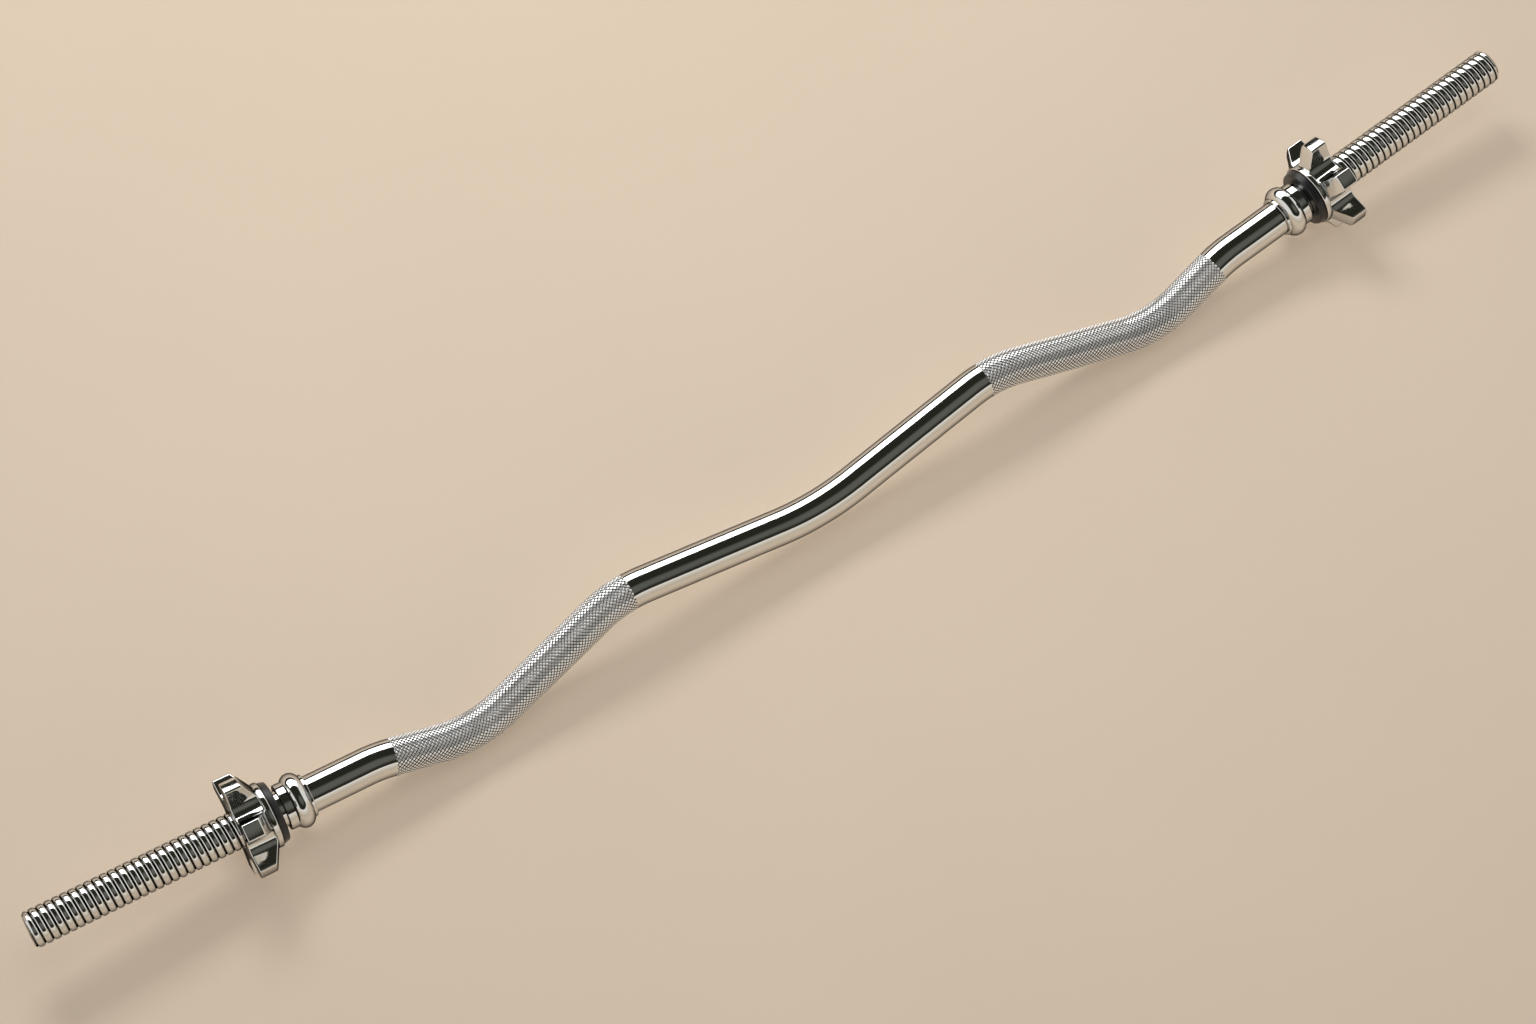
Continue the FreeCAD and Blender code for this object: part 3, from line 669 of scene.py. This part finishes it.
def star_outline():
    """Outline of the lobes, as points and outward normals, starting in the middle of a valley.

    Half a lobe step is the valley's arc, the straight flank along the lobe, the corner's arc and
    half of the tip's arc. It is mirrored for the other half and turned for each lobe.
    """
    spread = np.pi / LOBES
    centre = VALLEY_ROOT + VALLEY_RADIUS
    half_lobe = centre * np.sin(spread) - VALLEY_RADIUS
    arc = np.linspace(0.0, np.pi / 2 - spread, VALLEY_STEPS)
    valley_normal = np.stack([np.cos(arc), -np.sin(arc)], axis=1)
    valley = np.array([centre, 0.0]) - VALLEY_RADIUS * valley_normal
    lobe_along = np.array([np.cos(spread), np.sin(spread)])
    lobe_aside = np.array([np.sin(spread), -np.cos(spread)])
    corner_side = half_lobe - LOBE_CORNER
    corner_out = np.sqrt((LOBE_TIP - LOBE_CORNER) ** 2 - corner_side ** 2)
    flank_out = np.linspace(valley[-1] @ lobe_along, corner_out, FLANK_STEPS)[1:-1]
    flank = flank_out[:, None] * lobe_along + half_lobe * lobe_aside
    flank_normal = np.repeat(lobe_aside[None, :], len(flank), axis=0)
    tip_angle = np.arctan2(corner_side, corner_out)
    turn = np.linspace(0.0, np.pi / 2 - tip_angle, LOBE_CORNER_STEPS)
    corner_normal = np.sin(turn)[:, None] * lobe_along + np.cos(turn)[:, None] * lobe_aside
    corner = corner_out * lobe_along + corner_side * lobe_aside + LOBE_CORNER * corner_normal
    rest = np.linspace(tip_angle, 0.0, LOBE_TIP_STEPS)[1:]
    tip_normal = np.cos(rest)[:, None] * lobe_along + np.sin(rest)[:, None] * lobe_aside
    points = np.vstack([valley, flank, corner, LOBE_TIP * tip_normal])
    normals = np.vstack([valley_normal, flank_normal, corner_normal, tip_normal])
    cosine = np.cos(2 * spread)
    sine = np.sin(2 * spread)
    mirror = np.array([[cosine, sine], [sine, -cosine]])
    points = np.vstack([points, points[-2:0:-1] @ mirror])
    normals = np.vstack([normals, normals[-2:0:-1] @ mirror])
    turns = 2 * spread * np.arange(LOBES)
    cosines = np.cos(turns)
    sines = np.sin(turns)
    turning = np.array([[cosines, sines], [-sines, cosines]]).transpose(2, 0, 1)
    return (points @ turning).reshape(-1, 2), (normals @ turning).reshape(-1, 2)


def bevel_height(radius):
    """Height of the plate-side bevel over the nut's face: a cone from flange rim to lobe tips."""
    share = np.clip((radius - FLANGE_RADIUS) / (LOBE_TIP - FLANGE_RADIUS), 0.0, 1.0)
    return FLANGE_THICKNESS + BEVEL_LENGTH * share


def circle_rows(angle, radius, height):
    """Rows of points at angles round the axis: their radii, angles and heights, as one array."""
    return np.stack(np.broadcast_arrays(radius, angle, height))


def star_rows(points, normals, inset, height):
    """Rows of points on the star's outline, each moved in along its normal by the row's inset."""
    moved = points - inset[..., None] * normals
    x = moved[..., 0]
    y = moved[..., 1]
    return circle_rows(np.arctan2(y, x), np.hypot(x, y), height)


def nut_grid(axes):
    """Grid of a star nut: each column is a section through the axis, each row runs round it.

    The rows go from the recess over the flange, up the bevel to the star's edge, up the star's
    wall, round its outer edge by a quarter circle, in over the outer face and down the bore. There
    a ridge stands where the bar's thread has its groove: its share is one plus its flat top minus
    the distance from the groove over the ridge's half width, kept between 0 and 1. The valley that
    the outline starts in points straight down.
    """
    points, normals = star_outline()
    angle = np.arctan2(points[:, 1], points[:, 0])
    quarter = np.linspace(0.0, np.pi / 2, EDGE_STEPS)
    rim = FLANGE_RADIUS - NUT_EDGE
    recess = np.array([
        (RECESS_RADIUS, RECESS_DEPTH),
        (RECESS_RADIUS, RECESS_EDGE),
        (RECESS_RADIUS + RECESS_EDGE, 0.0),
        (rim - FLANGE_LAND, 0.0),
    ])
    rim_edge = np.stack([rim + NUT_EDGE * np.sin(quarter), NUT_EDGE * (1 - np.cos(quarter))], axis=1)
    rim_back = np.array([
        (FLANGE_RADIUS, FLANGE_THICKNESS - RIM_BACK_SHARE * NUT_EDGE),
        (FLANGE_RADIUS - FLANGE_BREAK, FLANGE_THICKNESS - FLANGE_BREAK_HEIGHT),
    ])
    flange = np.vstack([recess, rim_edge, rim_back])
    bevel_start = FLANGE_RADIUS - BEVEL_SEAT
    bevel_end = np.linalg.norm(points - BEVEL_INSET_SHARE * NUT_EDGE * normals, axis=1)
    bevel = bevel_start + BEVEL_SHARES[:, None] * (bevel_end - bevel_start)
    foot_rise = (FOOT_RISE_SHARES * NUT_EDGE - FOOT_SINK)[:, None]
    foot_height = bevel_height(np.linalg.norm(points, axis=1)) + foot_rise
    wall_inset = np.concatenate([[0.0], 1 - np.cos(quarter), [FACE_START_SHARE]])
    wall_drop = np.concatenate([[WALL_END_SHARE], 1 - np.sin(quarter), [0.0]])
    face = np.array([
        (NUT_THREAD + BORE_CHAMFER + BORE_LAND, NUT_LENGTH),
        (NUT_THREAD + BORE_CHAMFER, NUT_LENGTH - BORE_LIP),
    ])
    _, first, second, _ = axes
    down = np.arctan2(-second[2], -first[2])
    bore_height = np.linspace(NUT_LENGTH - BORE_CHAMFER, RECESS_DEPTH, BORE_ROWS)[:, None]
    aside = from_groove(nut_face + bore_height, angle + down)
    ridge = np.clip(1 + RIDGE_TOP_SHARE - aside / (RIDGE_WIDTH_SHARE * GROOVE_HALF_WIDTH), 0.0, 1.0)
    radius, around, height = np.concatenate([
        circle_rows(angle, flange[:, :1], flange[:, 1:]),
        circle_rows(angle, bevel, bevel_height(bevel)),
        star_rows(points, normals, NUT_EDGE * FOOT_INSET_SHARES[:, None], foot_height),
        star_rows(
            points, normals, NUT_EDGE * wall_inset[:, None], NUT_LENGTH - NUT_EDGE * wall_drop[:, None]),
        circle_rows(angle, face[:, :1], face[:, 1:]),
        circle_rows(angle, NUT_THREAD - ridge * (NUT_THREAD - NUT_BORE), bore_height),
    ], axis=1)
    return turned_grid(axes, radius, nut_face + height, around + down)


star_finish = cast_chrome()
for side in SIDES:
    nut = skin(side + "_nut", nut_grid(sleeve_axes(side)), joined=True)
    finished(nut, star_finish, side + "_nut", side + "_star_nut")

# Studio: a pale beige paper floor in a dim room. A wide box beyond the bar shows only in the
# chrome, a smaller key box gives the soft shadow, and a ceiling box and an even fill without
# shadows light the paper.
FLOOR_COLOUR = (0.665, 0.546, 0.425, 1.0)
FLOOR_MOTTLE = (0.64505, 0.52962, 0.41225, 1.0)
FLOOR_HALF = 4.0
FILL_ENERGY = 0.80


def paper_floor():
    """Matt paper with a very faint mottle."""
    finish, tree = new_finish("paper_floor")
    mottle = patches(tree, scale=3.0, detail=5.0)
    tone = tones(tree, mottle, low=0.3, first=FLOOR_MOTTLE, high=0.7, second=FLOOR_COLOUR)
    return surfaced(finish, Base_Color=tone, Roughness=0.85)


def soft_box(name, place, size, radiance, mirrored=False, shaded=True):
    """Rectangular lamp aimed at the bar, out of the camera's sight.

    A mirrored one shows only in the chrome, and any other lights only matt surfaces. The power of
    a flat lamp is its radiance times pi times its area.
    """
    light = bpy.data.lights.new(name, "AREA")
    light.shape = "RECTANGLE"
    light.size = size[0]
    light.size_y = size[1]
    light.energy = radiance * np.pi * size[0] * size[1]
    light.use_shadow = shaded
    lamp = bpy.data.objects.new(name, light)
    lamp.location = place
    lamp.rotation_euler = (-Vector(place)).to_track_quat("-Z", "Y").to_euler()
    lamp.visible_camera = False
    lamp.visible_glossy = mirrored
    lamp.visible_diffuse = not mirrored
    bpy.context.scene.collection.objects.link(lamp)


floor_corners = FLOOR_HALF * np.array([(-1, -1, 0), (1, -1, 0), (1, 1, 0), (-1, 1, 0)])
floor = new_piece("floor", floor_corners, np.array([[0, 1, 2, 3]]), np.empty((0, 3), dtype=int))
floor.data.materials.append(paper_floor())

soft_box("far_box", place=(0.5, 3.9, 2.5), size=(7.2, 3.0), radiance=3.0, mirrored=True)
soft_box("key_box", place=(0.15, 1.6, 1.62), size=(1.0, 0.6), radiance=10.4)
soft_box("ceiling_box", place=(0.25, 0.20, 1.9), size=(1.6, 1.6), radiance=1.55, shaded=False)
fill_light = bpy.data.lights.new("fill", "SUN")
fill_light.energy = FILL_ENERGY
fill_light.angle = 0.0
fill_light.use_shadow = False
fill = bpy.data.objects.new("fill", fill_light)
fill.visible_glossy = False
bpy.context.scene.collection.objects.link(fill)

# Room that the chrome mirrors: dark, with pale sides, a low pale wall in front, paler at its top,
# and a dim patch overhead. Each edge is a pair of bounds between which one tone goes over into
# the other.
ROOM_COLOUR = (0.022, 0.022, 0.016, 1.0)
OVERHEAD_COLOUR = (0.115, 0.115, 0.10, 1.0)
OVERHEAD_AIM = (0.18, -0.48, 0.86)
OVERHEAD_EDGE = (0.90, 0.995)
SIDE_COLOUR = (0.80, 0.79, 0.76, 1.0)
SIDE_EDGE = (0.58, 0.74)
WALL_COLOUR = (0.66, 0.59, 0.49, 1.0)
WALL_TOP_COLOUR = (0.90, 0.86, 0.80, 1.0)
WALL_FADE = (0.16, 0.40)
WALL_HEIGHT_EDGE = (0.44, 0.36)
WALL_FRONT_EDGE = (-0.3, -0.5)


def smooth_share(tree, value, edge):
    """Smooth step of a value, from 0 at an edge's first bound to 1 at its second."""
    step = add_node(
        tree, "MapRange", {"interpolation_type": "SMOOTHSTEP"}, Value=value, From_Min=edge[0],
        From_Max=edge[1])
    return step.outputs["Result"]


def joined_math(tree, kind, operation, *values):
    """Result of a math node whose inputs are these outputs or values, in turn."""
    node = add_node(tree, kind, {"operation": operation})
    for socket, value in zip(node.inputs, values):
        if isinstance(value, bpy.types.NodeSocket):
            tree.links.new(value, socket)
        else:
            socket.default_value = value
    return node.outputs["Value"]


def mixed(tree, share, first, second):
    """Colour that is the first at share 0 and the second at share 1."""
    return add_node(tree, "MixRGB", Fac=share, Color1=first, Color2=second).outputs["Color"]


def dim_room():
    """World whose tone follows the direction of sight.

    The patch overhead takes the dot product of the direction with its aim, the sides the size of
    the sideways part, and the wall the product of a share of the height and one of the part
    towards the front.
    """
    room = bpy.data.worlds.new("room")
    room.use_nodes = True
    tree = room.node_tree
    tree.nodes.clear()
    sight = add_node(tree, "TexCoord").outputs["Generated"]
    parts = add_node(tree, "SeparateXYZ", Vector=sight).outputs
    towards = joined_math(tree, "VectorMath", "DOT_PRODUCT", sight, OVERHEAD_AIM)
    sideways = joined_math(tree, "Math", "ABSOLUTE", parts["X"])
    below_top = smooth_share(tree, parts["Z"], WALL_HEIGHT_EDGE)
    in_front = smooth_share(tree, parts["Y"], WALL_FRONT_EDGE)
    on_wall = joined_math(tree, "Math", "MULTIPLY", below_top, in_front)
    wall = mixed(tree, smooth_share(tree, parts["Z"], WALL_FADE), WALL_COLOUR, WALL_TOP_COLOUR)
    tone = mixed(tree, smooth_share(tree, towards, OVERHEAD_EDGE), ROOM_COLOUR, OVERHEAD_COLOUR)
    tone = mixed(tree, smooth_share(tree, sideways, SIDE_EDGE), tone, SIDE_COLOUR)
    tone = mixed(tree, on_wall, tone, wall)
    background = add_node(tree, "Background", Color=tone)
    add_node(tree, "OutputWorld", Surface=background.outputs["Background"])
    return room


bpy.context.scene.world = dim_room()

# Camera: a long lens from above, in front and to the left, held level. It is aimed at the middle
# of the bar's place on the floor and then moved a little aside.
FRAME_WIDTH = 1536
FOCAL_PIXELS = 3300.0
SENSOR_WIDTH = 36.0
CAMERA_ELEVATION = np.radians(65.0)
CAMERA_AZIMUTH = np.radians(-33.29)
CAMERA_DISTANCE = 2.280
CAMERA_ASIDE = -0.0288
CAMERA_RAISED = -0.0010

back = np.array([
    np.cos(CAMERA_ELEVATION) * np.sin(CAMERA_AZIMUTH),
    -np.cos(CAMERA_ELEVATION) * np.cos(CAMERA_AZIMUTH),
    np.sin(CAMERA_ELEVATION)])
right = np.array([np.cos(CAMERA_AZIMUTH), np.sin(CAMERA_AZIMUTH), 0.0])
up = np.cross(back, right)
camera_place = back * CAMERA_DISTANCE + right * CAMERA_ASIDE + up * CAMERA_RAISED
lens = bpy.data.cameras.new("camera")
lens.sensor_width = SENSOR_WIDTH
lens.lens = FOCAL_PIXELS / FRAME_WIDTH * SENSOR_WIDTH
camera = bpy.data.objects.new("camera", lens)
camera_axes = np.column_stack([right, up, back, camera_place])
camera.matrix_world = Matrix(np.vstack([camera_axes, [0.0, 0.0, 0.0, 1.0]]).tolist())
bpy.context.scene.collection.objects.link(camera)
bpy.context.scene.camera = camera
bpy.context.scene.view_settings.view_transform = "Standard"
